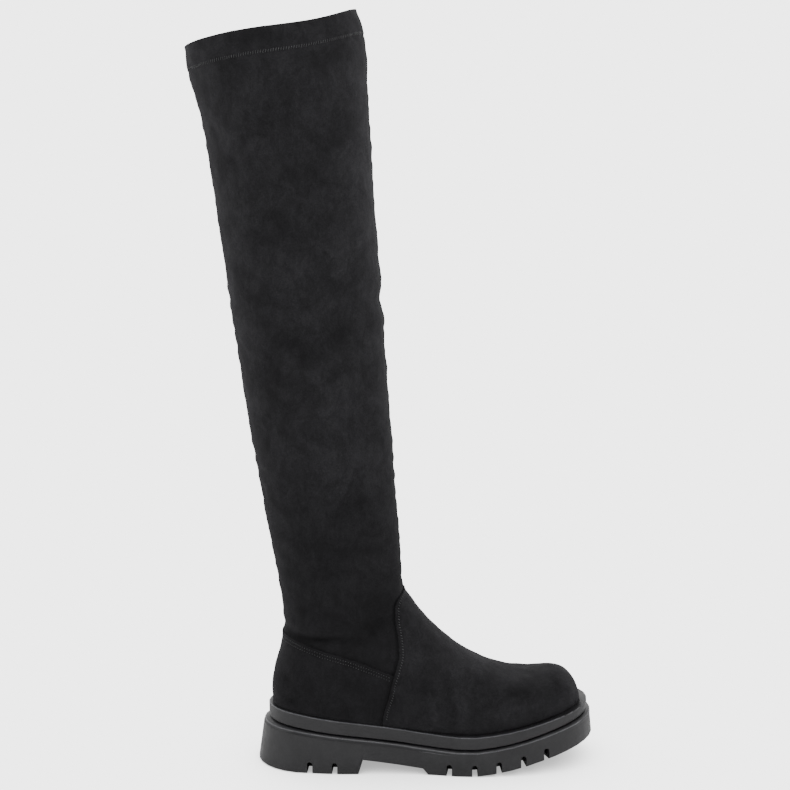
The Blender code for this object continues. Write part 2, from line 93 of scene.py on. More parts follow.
# Soft creases and dents, each along a path of places and heights. The side is -1 for the outer side, 1 for
# the inner one and 0 for both. Depths below zero are ridges. All in millimetres.
CREASES = (
    # side, depth, width, path
    (0, 1.2, 3.5, ((-22, 121), (-12, 116), (4, 114), (24, 114), (40, 116))),
    (0, -0.6, 4.0, ((-20, 127), (-6, 123), (12, 121), (30, 121))),
    (-1, 0.8, 4.5, ((30, 122), (46, 126), (60, 132))),
    (-1, 1.0, 5.0, ((-20, 79), (-14, 72))),
    (-1, 0.7, 4.0, ((-16, 60), (-10, 56))),
    (0, 0.9, 5.0, ((80, 118), (88, 104), (96, 96))),
    (-1, 0.7, 4.5, ((98, 72), (100, 60), (99, 50))),
    (0, -0.6, 5.0, ((118, 84), (122, 70), (122, 52))),
    (0, 0.7, 5.0, ((112, 88), (113, 72), (110, 56))),
    (-1, 0.6, 6.0, ((132, 64), (150, 60), (166, 61))),
    (-1, 0.5, 4.0, ((176, 66), (182, 58), (182, 50))),
    (0, 1.1, 7.0, ((56, 392), (34, 380), (14, 366), (6, 350))),
    (0, 1.0, 7.0, ((-32, 384), (-16, 366), (2, 356))),
    (0, -0.7, 9.0, ((-20, 402), (10, 394), (50, 410))),
    (-1, 0.9, 9.0, ((12, 226), (30, 214), (44, 220))),
    (-1, 0.7, 8.0, ((0, 196), (16, 188), (24, 178))),
    (0, 0.8, 8.0, ((56, 184), (66, 176), (74, 172))),
    (-1, 0.8, 9.0, ((-66, 548), (-52, 536), (-36, 532))),
    (-1, 0.7, 8.0, ((10, 556), (30, 552), (44, 560))),
    (1, 0.8, 9.0, ((-60, 520), (-40, 505), (-16, 500))),
    (1, 0.8, 9.0, ((40, 300), (20, 288), (-6, 290))),
    (1, 0.7, 6.0, ((70, 80), (96, 66), (120, 60))),
)

# Waves of the front of the shaft: height, how far forward, and how tall, in millimetres.
FRONT_WAVES = (
    (570, 0.9, 9.0),
    (401, 1.3, 8.0),
    (386, -1.4, 6.0),
    (370, 1.0, 8.0),
    (330, 0.4, 9.0),
    (272, 0.5, 10.0),
)

# Marks painted on the suede's colour: many are painted shade in creases, dents and wrinkles, some lighter
# ones are painted highlights on ridges, the rest are patches of brushed nap.
# Place, height, half length, half width, slope in degrees, and tone, below zero darker.
NAP_AND_PAINTED_LIGHT_MARKS = (
    (-25, 372, 9, 6, -20, -0.9),
    (-13, 358, 14, 5, -20, -1.0),
    (2, 345, 6, 11, 0, -0.9),
    (30, 364, 20, 7, 38, -1.0),
    (52, 366, 10, 4, 45, -0.6),
    (26, 262, 16, 38, 0, 0.9),
    (44, 470, 14, 60, -5, 0.5),
    (36, 222, 17, 9, 20, -1.0),
    (12, 196, 13, 10, -30, -0.9),
    (54, 188, 12, 6, 0, -0.6),
    (-44, 560, 16, 9, -25, -0.8),
    (26, 571, 24, 7, 12, -0.9),
    (-30, 583, 26, 5, 12, -0.7),
    (40, 596, 12, 6, 12, -0.5),
    (20, 500, 10, 26, 10, -0.5),
    (-6, 470, 12, 20, 30, -0.5),
    (-28, 400, 6, 40, -12, -0.5),
    (-22, 320, 7, 40, -10, -0.6),
    (4, 420, 16, 20, 20, 0.4),
    (60, 128, 9, 14, 10, -0.9),
    (20, 133, 12, 6, -10, -0.6),
    (10, 114, 26, 2.6, 0, -1.8),
    (6, 111, 22, 5, 0, -0.5),
    (44, 112, 14, 5, -10, -0.7),
    (-16, 77.5, 6, 3.4, -45, -2.0),
    (-11.5, 58.5, 4.5, 3.6, -10, -2.0),
    (-1, 136, 7, 4, 0, -0.9),
    (50, 125, 6, 4, 0, -1.2),
    (54, 119, 3, 3, 0, -1.2),
    (31, 60, 5, 5, 0, -0.8),
    (50, 56, 5, 4, 0, -0.8),
    (96, 74, 9, 18, -15, -0.8),
    (90, 100, 10, 6, -50, 0.5),
    (104, 54, 3, 12, 5, 0.8),
    (124, 66, 4, 22, 5, 0.8),
    (174, 67, 14, 4.2, 0, -1.3),
    (149, 76, 6, 5, 0, -1.2),
    (188, 74, 4, 5, 30, -0.9),
    (205, 79, 6, 4, 20, -1.0),
    (205, 70, 4, 7, 20, -0.8),
    (120, 54, 3, 15, 0, -0.8),
    (130, 56, 2.5, 13, 5, 0.8),
    (165, 88, 30, 4.5, 0, 1.1),
    (180, 57, 20, 4, 5, 0.8),
    (196, 80, 8, 5, 20, 0.7),
    (140, 82, 16, 6, 0, 0.8),
    (182, 60, 5, 9, 20, -0.7),
    (150, 50, 16, 5, 8, 0.5),
    (70, 60, 12, 9, 60, -0.5),
    (30, 66, 16, 8, -30, 0.3),
)


class UpperSizes(bpy.types.PropertyGroup):
    """Sizes and colours of the suede upper."""

    wall: bpy.props.FloatProperty(
        name="Wall", description="Thickness of the upper's wall", default=0.0016, min=0.0005, unit="LENGTH"
    )
    panel: bpy.props.FloatProperty(
        name="Panel", description="How far a panel stands out", default=0.0012, min=0.0003, unit="LENGTH"
    )
    counter: bpy.props.FloatProperty(
        name="Counter", description="How far the heel panel stands out", default=0.0009, min=0.0003,
        unit="LENGTH",
    )
    hem: bpy.props.FloatProperty(
        name="Hem", description="Height of the folded hem", default=0.0175, min=0.005, unit="LENGTH"
    )
    pucker: bpy.props.FloatProperty(
        name="Pucker", description="Depth of the puckers along the seams", default=0.0003, unit="LENGTH"
    )
    suede: bpy.props.FloatVectorProperty(
        name="Suede", description="Colour of the suede", default=(0.0169, 0.0166, 0.0181), subtype="COLOR",
        min=0, max=1,
    )
    lining: bpy.props.FloatVectorProperty(
        name="Lining", description="Colour of the lining", default=(0.022, 0.021, 0.021), subtype="COLOR",
        min=0, max=1,
    )


class ThreadSizes(bpy.types.PropertyGroup):
    """Sizes and colour of the stitching."""

    length: bpy.props.FloatProperty(
        name="Length", description="Length of one stitch", default=0.0010, min=0.0005, unit="LENGTH"
    )
    gap: bpy.props.FloatProperty(
        name="Gap", description="Space between two stitches", default=0.0012, min=0.0002, unit="LENGTH"
    )
    thickness: bpy.props.FloatProperty(
        name="Thickness", description="Thickness of the thread", default=0.0007, min=0.0002, unit="LENGTH"
    )
    colour: bpy.props.FloatVectorProperty(
        name="Colour", description="Colour of the thread", default=(0.033, 0.033, 0.035), subtype="COLOR",
        min=0, max=1,
    )


class SoleSizes(bpy.types.PropertyGroup):
    """Sizes and colours of the sole."""

    edge: bpy.props.FloatProperty(
        name="Edge", description="Rounding of the sole's edges", default=0.00035, min=0.0001, unit="LENGTH"
    )
    ledge: bpy.props.FloatProperty(
        name="Ledge", description="Width of the slanted ledge round the outsole's top", default=0.0036,
        unit="LENGTH",
    )
    slant: bpy.props.FloatProperty(
        name="Slant", description="Rise of that ledge towards the groove", default=0.0021, unit="LENGTH"
    )
    rubber: bpy.props.FloatVectorProperty(
        name="Rubber", description="Colour of the rubber", default=(0.0204, 0.0200, 0.0218), subtype="COLOR",
        min=0, max=1,
    )
    # painted highlight: a lighter rubber colour on the sole's upward-tilted edge facets, standing in for
    # light caught by those edges
    painted_highlight: bpy.props.FloatVectorProperty(
        name="Edges", description="Colour of the rubber's shiny edges", default=(0.085, 0.085, 0.092),
        subtype="COLOR", min=0, max=1,
    )
    roughness: bpy.props.FloatProperty(
        name="Roughness", description="How matte the rubber is", default=0.36, min=0, max=1, subtype="FACTOR"
    )


class StageSizes(bpy.types.PropertyGroup):
    """Floor, light and camera."""

    floor: bpy.props.FloatVectorProperty(
        name="Floor", description="Colour of the floor", default=(0.92, 0.92, 0.92), subtype="COLOR",
        min=0, max=1,
    )
    sides: bpy.props.FloatProperty(
        name="Side lights", description="Power of each softbox at the sides", default=8.5, min=0
    )
    top: bpy.props.FloatProperty(
        name="Top light", description="Power of the softbox above", default=11.0, min=0
    )
    backdrop: bpy.props.FloatProperty(
        name="Backdrop", description="Brightness of the backdrop", default=4.0, min=0
    )
    sky: bpy.props.FloatProperty(
        name="Sky", description="Strength of the light all round", default=0.35, min=0
    )


def only(thing):
    """Selects one object and nothing else."""
    if bpy.context.object and bpy.context.object.mode != "OBJECT":
        bpy.ops.object.mode_set(mode="OBJECT")
    bpy.ops.object.select_all(action="DESELECT")
    thing.select_set(True)
    bpy.context.view_layer.objects.active = thing
    return thing


def new_object(name, mesh):
    """A new object for a mesh, selected alone."""
    thing = bpy.data.objects.new(name, mesh)
    mesh.name = name
    bpy.context.scene.collection.objects.link(thing)
    return only(thing)


def copy_of(node, name):
    """A merged copy of a CAD node, as a new object."""
    thing = new_object(name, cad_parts[node].data.copy())
    thing.data.materials.clear()
    bpy.ops.object.mode_set(mode="EDIT")
    bpy.ops.mesh.select_all(action="SELECT")
    bpy.ops.mesh.remove_doubles(threshold=0.00002)
    bpy.ops.object.mode_set(mode="OBJECT")
    return thing


def pick_none(thing, kind):
    """Leaves a piece with nothing selected, before its faces or edges are picked."""
    only(thing)
    bpy.ops.object.mode_set(mode="EDIT")
    bpy.ops.mesh.select_mode(type=kind)
    bpy.ops.mesh.select_all(action="DESELECT")
    bpy.ops.object.mode_set(mode="OBJECT")


def pick_faces(thing, test):
    """Opens a piece in edit mode with just the faces selected whose centre and normal pass a test."""
    pick_none(thing, "FACE")
    for face in thing.data.polygons:
        face.select = bool(test(face.center, face.normal))
    bpy.ops.object.mode_set(mode="EDIT")


def pick_flat(thing, seed, turn):
    """Opens a piece in edit mode with one face selected, and all that it joins without a sharper turn."""
    pick_none(thing, "FACE")
    thing.data.polygons[seed].select = True
    bpy.ops.object.mode_set(mode="EDIT")
    bpy.ops.mesh.faces_select_linked_flat(sharpness=math.radians(turn))


def widest_top(thing):
    """The largest face of a piece that looks up."""
    upward = 0.8
    return max((face.area, face.index) for face in thing.data.polygons if face.normal.z > upward)[1]


def split_edges(thing, longest):
    """Opens a piece in edit mode and halves its edges that are longer than a length."""
    pick_none(thing, "EDGE")
    for edge in thing.data.edges:
        start, end = (thing.data.vertices[v].co for v in edge.vertices)
        edge.select = (end - start).length > longest
    bpy.ops.object.mode_set(mode="EDIT")
    bpy.ops.mesh.subdivide(number_cuts=1, smoothness=0)


def apply_modifier(thing, kind, **settings):
    """Adds a modifier with its settings and applies it."""
    only(thing)
    change = thing.modifiers.new(kind.lower(), kind)
    for key, value in settings.items():
        setattr(change, key, value)
    bpy.ops.object.modifier_apply(modifier=change.name)


def seat(thing, material, slot, *nodes):
    """Gives a finished piece its material and its place in the frame, and hides the CAD nodes that it stands
    for.
    """
    if material is not None:
        thing.data.materials.append(material)
    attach(thing, "root")
    if nodes:
        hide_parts(*nodes)
    return thing


def along_curve(knots, values, at):
    """A smooth curve through rows that never overshoots them."""
    knots, values, at = (np.asarray(x, float) for x in (knots, values, at))
    width = np.diff(knots)
    slope = np.diff(values) / width
    tangent = np.concatenate([slope[:1], np.zeros(len(slope) - 1), slope[-1:]])
    for i in range(1, len(slope)):
        if slope[i - 1] * slope[i] > 0:
            near, far = 2 * width[i] + width[i - 1], width[i] + 2 * width[i - 1]
            tangent[i] = (near + far) / (near / slope[i - 1] + far / slope[i])
    i = np.clip(np.searchsorted(knots, at, side="right") - 1, 0, len(width) - 1)
    t = np.clip((at - knots[i]) / width[i], 0, 1)
    start = values[i] * (1 + 2 * t) + tangent[i] * width[i] * t
    end = values[i + 1] * (3 - 2 * t) - tangent[i + 1] * width[i] * (1 - t)
    return start * (1 - t) ** 2 + end * t**2


def vamp_place(height):
    """Place of the vamp's back edge at a height."""
    place, up = zip(*VAMP_EDGE)
    return along_curve(up, place, height)


def counter_height(place):
    """Height of the counter's top edge at a place along the boot."""
    along, up = zip(*COUNTER_EDGE)
    return along_curve(along, up, place)


def distance_to(points, path):
    """Distance of points from a path in side view, and how far along it they are, from 0 to 1."""
    path = np.asarray(path, float)
    lengths = np.linalg.norm(np.diff(path, axis=0), axis=1)
    before = np.concatenate([[0], np.cumsum(lengths)])
    best = np.full(len(points), np.inf)
    share = np.zeros(len(points))
    for k, (a, b) in enumerate(zip(path, path[1:])):
        run = b - a
        t = np.clip(((points - a) @ run) / (run @ run), 0, 1)
        away = np.linalg.norm(points - (a + t[:, None] * run), axis=1)
        closer = away < best
        best[closer] = away[closer]
        share[closer] = (before[k] + t[closer] * lengths[k]) / before[-1]
    return best, share


def read_vectors(mesh, what):
    """Places or normals of a mesh's vertices as rows."""
    rows = np.zeros(len(mesh.vertices) * 3)
    if what == "normal":
        mesh.vertex_normals.foreach_get("vector", rows)
    else:
        mesh.vertices.foreach_get("co", rows)
    return rows.reshape(-1, 3)


def collar_line(mesh):
    """Heights of the collar's rim round the shaft, as a function of the direction from its middle."""
    edges = {}
    for face in mesh.polygons:
        for key in face.edge_keys:
            edges[key] = edges.get(key, 0) + 1
    places = read_vectors(mesh, "place")
    open_ends = sorted({v for key, uses in edges.items() if uses == 1 for v in key})
    rim = np.array([places[v] for v in open_ends if places[v][2] > COLLAR_ABOVE])
    middle = rim.mean(axis=0)
    turn = np.arctan2(rim[:, 1], rim[:, 0] - middle[0])
    order = np.argsort(turn)
    turns, heights = turn[order], rim[order, 2]
    turns = np.concatenate([turns[-3:] - 2 * math.pi, turns, turns[:3] + 2 * math.pi])
    heights = np.concatenate([heights[-3:], heights, heights[:3]])
    return lambda x, y: np.interp(np.arctan2(y, x - middle[0]), turns, heights)


def waves(points, scale, seed):
    """Smooth uneven waves between about -1 and 1, from a few sines in fixed directions."""
    total = np.zeros(len(points))
    for k in range(6):
        angle = seed * 1.7 + k * 2.4
        lift = math.sin(seed + 1.3 * k)
        way = np.array([math.cos(angle), math.sin(angle), lift]) / scale
        total += np.sin(points @ way * (1 + 0.35 * k) + seed * (k + 1))
    return total / 3.5


def bell(distance, width):
    """A soft rise that is 1 at no distance and is gone at about twice the width."""
    return np.exp(-((distance / width) ** 2))


def crease_depth(flat, normals):
    """How deep the creases sink each point, in millimetres. A soft rim stands up beside each."""
    total = np.zeros(len(flat))
    rim_share = 0.35
    for which, depth, width, path in CREASES:
        away, share = distance_to(flat, path)
        fade = np.sin(np.pi * np.clip(0.12 + 0.76 * share, 0, 1)) ** 0.7
        fade = np.where(away > 3 * width, 0, fade)
        reach = bell(away, width) - rim_share * bell(away - 2 * width, width)
        on_side = 1.0 if which == 0 else np.clip(0.5 + which * normals[:, 1] * 2, 0, 1)
        total += depth * reach * fade * on_side
    return total


def front_waves(height, normals):
    """How far the waves of the shaft's front stand out at each point, in millimetres."""
    ahead = np.clip(normals[:, 0], 0, 1) ** 2
    return sum(forward * bell(height - middle, tall) for middle, forward, tall in FRONT_WAVES) * ahead


def seam_groove(points, normals):
    """How deep the centre seams at the front, back and heel sink each point, in millimetres."""
    shaft_deep, heel_deep = 0.6, 0.4
    wide, shoulder_share, shoulder_at, shoulder_wide = 1.1, 0.45, 3.2, 1.8
    middle = np.abs(points[:, 1]) * MM
    groove = bell(middle, wide) - shoulder_share * bell(middle - shoulder_at, shoulder_wide)
    shaft = np.clip((points[:, 2] - SHAFT_START) / 0.02, 0, 1)
    heel = np.clip((SHAFT_START - points[:, 2]) / 0.02, 0, 1) * np.clip(-normals[:, 0], 0, 1)
    return groove * (shaft_deep * shaft + heel_deep * heel)


def seam_puckers(points):
    """Uneven puckers beside the shaft's centre seams, between about -1 and 1."""
    reach, long_beat, short_beat, short_share = 9.0, 13.5, 7.3, 0.35
    middle, height = np.abs(points[:, 1]) * MM, points[:, 2] * MM
    beat = np.sin(height * 2 * math.pi / long_beat + 1.2 * np.sin(height / 31))
    beat *= 0.5 + 0.5 * np.sin(height / 19 + 1)
    beat += short_share * np.sin(height * 2 * math.pi / short_beat)
    return bell(middle, reach) * beat * np.clip((points[:, 2] - SHAFT_START) / 0.02, 0, 1)


def hem_relief(points, drop):
    """How far the hem's fold and sewn line move points out, in millimetres, by their drop under the fold."""
    fold_high, fold_soft = 0.5, 1.6
    sewn_deep, sewn_wide, gather, shaft_radius = 0.45, 2.2, 7.5, 46
    folded = np.clip(0.5 - drop / fold_soft, 0, 1)
    around = np.arctan2(points[:, 1], points[:, 0]) * shaft_radius
    sewn = bell(drop, sewn_wide) * (0.55 + 0.45 * np.sin(around * 2 * math.pi / gather))
    return fold_high * folded - sewn_deep * sewn * (points[:, 2] > COLLAR_ABOVE)


def relief(points, normals, sizes, rim_at):
    """How far each point of the form moves out: creases, seam puckers, the hem's fold and soft waves."""
    flat = points[:, [0, 2]] * MM
    drop = (rim_at(points[:, 0], points[:, 1]) - sizes.hem - points[:, 2]) * MM
    move = front_waves(flat[:, 1], normals) - crease_depth(flat, normals) - seam_groove(points, normals)
    move += sizes.pucker * MM * seam_puckers(points) * np.clip(drop / 4, 0, 1)
    move += hem_relief(points, drop)
    move += 0.35 * waves(points, 0.012, 3.0) + 0.3 * waves(points, 0.005, 8.0)
    return move / MM


def seam_distances(points):
    """How far each point is in front of the vamp's edge, and below the counter's edge, in millimetres."""
    x, z = points[:, 0], points[:, 2]
    across, out_of_reach = 0.95, 99  # the counter's edge slopes, so it is nearer than the height says
    ahead = (x - vamp_place(z)) * MM
    under = (counter_height(x) - z) * MM * across
    return ahead, np.where(ahead > 0, out_of_reach, under)


def press_seams(thing, dip, groove=0.0, rolled=0.0, base=None):
    """Sinks the suede just outside the panels' edges, at the edges and along their rows of stitches.

    With a base, only what stands off it and faces away from it is sunk.
    """
    outside, dip_wide, rolled_wide, groove_wide = 1.1, 1.3, 1.7, 0.8
    stands_off, faces_away = 0.0006, 0.3
    mesh = thing.data
    points, normals = read_vectors(mesh, "place"), read_vectors(mesh, "normal")
    ahead, under = seam_distances(points)
    sunk = np.zeros(len(points))
    for away, rows, share in ((ahead, VAMP_ROWS, 1.0), (under, COUNTER_ROWS, 0.6)):
        sunk += share * dip * bell(away + outside, dip_wide) + share * rolled * bell(away, rolled_wide)
        for row in rows:
            sunk += groove * bell(away - row * MM, groove_wide)
    sunk *= points[:, 2] < PANELS_TOP
    if base is not None:
        near = [base.find_nearest(Vector(p)) for p in points]
        sunk *= np.array([
            found[3] > stands_off and Vector(n).dot(found[1]) > faces_away for found, n in zip(near, normals)
        ])
    mesh.vertices.foreach_set("co", (points - normals * sunk[:, None]).ravel())
    mesh.update()


def nap_and_painted_light_tone(points, normals):
    """Tone painted at each point: brushed nap, the painted shade and highlights of the marks, and painted
    shade just outside the panels' edges; below zero darker, above it lighter.
    """
    darkest, lightest, inner_share = -2.0, 1.2, 0.45
    flat = points[:, [0, 2]] * MM
    outer = np.where(normals[:, 1] < 0.2, 1.0, inner_share)
    tone = np.zeros(len(points))
    for x, z, half_long, half_wide, slope, strength in NAP_AND_PAINTED_LIGHT_MARKS:
        turn = math.radians(slope)
        dx, dz = flat[:, 0] - x, flat[:, 1] - z
        far = ((dx * math.cos(turn) + dz * math.sin(turn)) / half_long) ** 2
        far += ((dz * math.cos(turn) - dx * math.sin(turn)) / half_wide) ** 2
        tone += strength * np.exp(-(far**0.8)) * outer
    ahead, under = seam_distances(points)
    # painted shade on the suede just outside the vamp's edge and above the counter's edge
    shade = 1.0 * bell(ahead + 1.2, 1.6) + 0.7 * bell(under + 1.2, 1.8)
    return np.clip(tone - shade * (points[:, 2] < PANELS_TOP), darkest, lightest)


def lay_nap_and_painted_light(mesh):
    """Writes the tone of the nap, with its painted shade and highlights, on a mesh as its nap attribute."""
    nap = mesh.attributes.get("nap") or mesh.attributes.new("nap", "FLOAT", "POINT")
    nap.data.foreach_set("value", nap_and_painted_light_tone(read_vectors(mesh, "place"), read_vectors(mesh, "normal")))


def fill_out(mesh, packed):
    """Evens a smoothed mesh, then moves it back out to the CAD's surface by evened steps."""
    before, of_steps, after = 10, 6, 4  # times that places and steps are evened
    places = read_vectors(mesh, "place")
    pairs = np.zeros(len(mesh.edges) * 2, int)
    mesh.edges.foreach_get("vertices", pairs)
    pairs = pairs.reshape(-1, 2)
    uses = np.bincount(pairs.ravel(), minlength=len(places))[:, None]
    sides = np.bincount([corner.edge_index for corner in mesh.loops], minlength=len(mesh.edges))
    inside = np.ones(len(places), bool)
    inside[pairs[sides == 1].ravel()] = False

    def round_about(rows):
        total = np.zeros_like(rows)
        np.add.at(total, pairs[:, 0], rows[pairs[:, 1]])
        np.add.at(total, pairs[:, 1], rows[pairs[:, 0]])
        return total / uses

    def even(times):
        for _ in range(times):
            places[inside] = (0.5 * places + 0.5 * round_about(places))[inside]

    even(before)
    step = np.array([tuple(packed.find_nearest(Vector(p))[0]) for p in places]) - places
    for _ in range(of_steps):
        step = 0.4 * step + 0.6 * round_about(step)
    places += step
    even(after)
    mesh.vertices.foreach_set("co", places.ravel())
    mesh.update()


def outer_sheet(name):
    """The outer sheet of the CAD upper alone, with its gaps filled and the collar's close points merged."""
    seam_turn, on_shaft, by_collar, close = 62, 0.2, 0.5, 0.0012
    thing = copy_of("upper", name)
    places = [(face.center.y, face.index) for face in thing.data.polygons if face.center.z > on_shaft]
    pick_flat(thing, min(places)[1], seam_turn)
    bpy.ops.mesh.select_all(action="INVERT")
    bpy.ops.mesh.delete(type="FACE")
    bpy.ops.mesh.select_all(action="SELECT")
    bpy.ops.mesh.fill_holes(sides=6)
    pick_faces(thing, lambda centre, normal: centre.z > by_collar)
    bpy.ops.mesh.remove_doubles(threshold=close)
    bpy.ops.object.mode_set(mode="OBJECT")
    return thing


def tree_of(mesh, places):
    """A mesh with its vertices at other places, as a tree to cast rays at."""
    return BVHTree.FromPolygons([Vector(p) for p in places], [tuple(face.vertices) for face in mesh.polygons])


def refine(thing, test):
    """Halves the edges of the faces that pass a test."""
    pick_faces(thing, test)
    bpy.ops.mesh.subdivide(number_cuts=1, smoothness=0)
    bpy.ops.object.mode_set(mode="OBJECT")


def boot_form():
    """The boot's outer form as one fine sheet with its creases, made once from the CAD upper."""
    if "boot_form" in bpy.data.meshes:
        return bpy.data.meshes["boot_form"]
    longest_edge, flat_turn, square_turn = 0.024, math.radians(60), math.radians(70)
    seam_strip, seam_low, hem_strip, panels_to = 0.007, 0.1, 0.022, 0.155
    thing = outer_sheet("boot_form")
    packed = tree_of(thing.data, read_vectors(thing.data, "place"))
    split_edges(thing, longest_edge)
    bpy.ops.mesh.select_all(action="SELECT")
    bpy.ops.mesh.quads_convert_to_tris()
    bpy.ops.mesh.beautify_fill(angle_limit=flat_turn)
    bpy.ops.mesh.tris_convert_to_quads(face_threshold=flat_turn, shape_threshold=square_turn)
    apply_modifier(thing, "SUBSURF", levels=2, render_levels=2)
    fill_out(thing.data, packed)
    rim_at = collar_line(thing.data)
    refine(thing, lambda c, n: abs(c.y) < seam_strip and c.z > seam_low or rim_at(c.x, c.y) - c.z < hem_strip)
    middles = np.array([tuple(face.center) for face in thing.data.polygons])
    ahead, under = seam_distances(middles)
    by_vamp, by_counter = np.abs(ahead - 1) < 5, np.abs(under - 2) < 6.5
    by_panels = iter((middles[:, 2] < panels_to) & (by_vamp | by_counter))
    refine(thing, lambda c, n: next(by_panels))
    mesh = thing.data
    points, normals = read_vectors(mesh, "place"), read_vectors(mesh, "normal")
    points = points + normals * relief(points, normals, bpy.context.scene.boot_upper, rim_at)[:, None]
    mesh.vertices.foreach_set("co", points.ravel())
    lay_nap_and_painted_light(mesh)
    mesh.update()
    bpy.data.objects.remove(thing)
    mesh.use_fake_user = True
    return mesh


def form_copy(name):
    """A new object with its own copy of the boot's form."""
    return new_object(name, boot_form().copy())


def form_tree(lift=0.0):
    """The boot's form as a tree to cast rays at, moved out by a distance."""
    mesh = boot_form()
    return tree_of(mesh, read_vectors(mesh, "place") + lift * read_vectors(mesh, "normal"))


def flat_prism(name, outline):
    """A solid right across the boot from an outline in side view."""
    reach = 0.12
    mesh = bpy.data.meshes.new(name)
    builder = bmesh.new()
    face = builder.faces.new([builder.verts.new((x, -reach, z)) for x, z in outline])
    builder.to_mesh(mesh)
    builder.free()
    thing = new_object(name, mesh)
    bpy.ops.object.mode_set(mode="EDIT")
    bpy.ops.mesh.select_all(action="SELECT")
    bpy.ops.mesh.extrude_region_move(TRANSFORM_OT_translate={"value": (0, 2 * reach, 0)})
    bpy.ops.mesh.select_all(action="SELECT")
    bpy.ops.mesh.normals_make_consistent(inside=False)
    bpy.ops.object.mode_set(mode="OBJECT")
    return thing


def panel_over(name, region, keep, proud):
    """A panel laid on the upper: the form's faces in a region, thickened outwards and cut to an outline."""
    lift, row_groove, rolled, rounding = 0.0002, 0.0003, 0.0006, 0.00035
    panel = form_copy(name)
    pick_faces(panel, lambda centre, normal: not keep(centre))
    bpy.ops.mesh.delete(type="FACE")
    thick = proud - lift
    apply_modifier(panel, "SOLIDIFY", thickness=thick, offset=1 + 2 * lift / thick, use_even_offset=False)
    cutter = flat_prism(name + "_outline", region)
    apply_modifier(panel, "BOOLEAN", operation="INTERSECT", solver="EXACT", object=cutter)
    bpy.data.objects.remove(cutter)
    if not panel.data.polygons:
        raise RuntimeError(name + " came out empty")
    press_seams(panel, 0.0, row_groove, rolled, form_tree())
    apply_modifier(
        panel, "BEVEL", width=rounding, segments=2, limit_method="ANGLE", angle_limit=math.radians(50),
        use_clamp_overlap=True,
    )
    lay_nap_and_painted_light(panel.data)
    bpy.ops.object.shade_smooth_by_angle(angle=math.radians(40))
    return panel


def node_in(tree, kind, **settings):
    """A shader node, with its plain settings and the values of its sockets."""
    made = tree.nodes.new(kind)
    for key, value in settings.items():
        if key in made.inputs:
            made.inputs[key].default_value = value
        else:
            setattr(made, key, value)
    return made


def noise(tree, coords, scale, detail=2.0, rough=0.5, distortion=0.0, stretch=None):
    """A noise texture on the piece's own coordinates."""
    source = coords.outputs["Object"]
    if stretch:
        mapping = node_in(tree, "ShaderNodeMapping", Scale=stretch)
        tree.links.new(source, mapping.inputs["Vector"])
        source = mapping.outputs["Vector"]
    made = node_in(
        tree, "ShaderNodeTexNoise", Scale=scale, Detail=detail, Roughness=rough, Distortion=distortion
    )
    tree.links.new(source, made.inputs["Vector"])
    return made.outputs["Fac"]


def ramp(tree, source, low, high, dark=0.0, light=1.0):
    """Spreads the range between two values of a source to two new ones."""
    made = node_in(tree, "ShaderNodeMapRange", interpolation_type="SMOOTHSTEP")
    for key, value in (("From Min", low), ("From Max", high), ("To Min", dark), ("To Max", light)):
        made.inputs[key].default_value = value
    tree.links.new(source, made.inputs["Value"])
    return made.outputs["Result"]


def maths(tree, operation, *values):
    """One sum on sources or numbers."""
    made = node_in(tree, "ShaderNodeMath", operation=operation)
    for socket, value in zip(made.inputs, values):
        if isinstance(value, (int, float)):
            socket.default_value = value
        else:
            tree.links.new(value, socket)
    return made.outputs["Value"]


def tinted(tree, colour, amount):
    """A colour scaled by a source."""
    made = node_in(tree, "ShaderNodeVectorMath", operation="SCALE")
    made.inputs[0].default_value = colour
    tree.links.new(amount, made.inputs["Scale"])
    return made.outputs["Vector"]


def bumped(tree, height, strength, distance, under=None):
    """A bump on a height, over another bump."""
    made = node_in(tree, "ShaderNodeBump", Strength=strength, Distance=distance)
    tree.links.new(height, made.inputs["Height"])
    if under is not None:
        tree.links.new(under, made.inputs["Normal"])
    return made.outputs["Normal"]


def new_material(name, **sockets):
    """A material with its shader's plain values set on its own sockets."""
    made = bpy.data.materials.new(name)
    made.use_nodes = True
    tree = made.node_tree
    shader = tree.nodes["Principled BSDF"]
    for key, value in sockets.items():
        shader.inputs[key.replace("_", " ")].default_value = value
    coords = node_in(tree, "ShaderNodeTexCoord")
    return made, tree, shader, coords


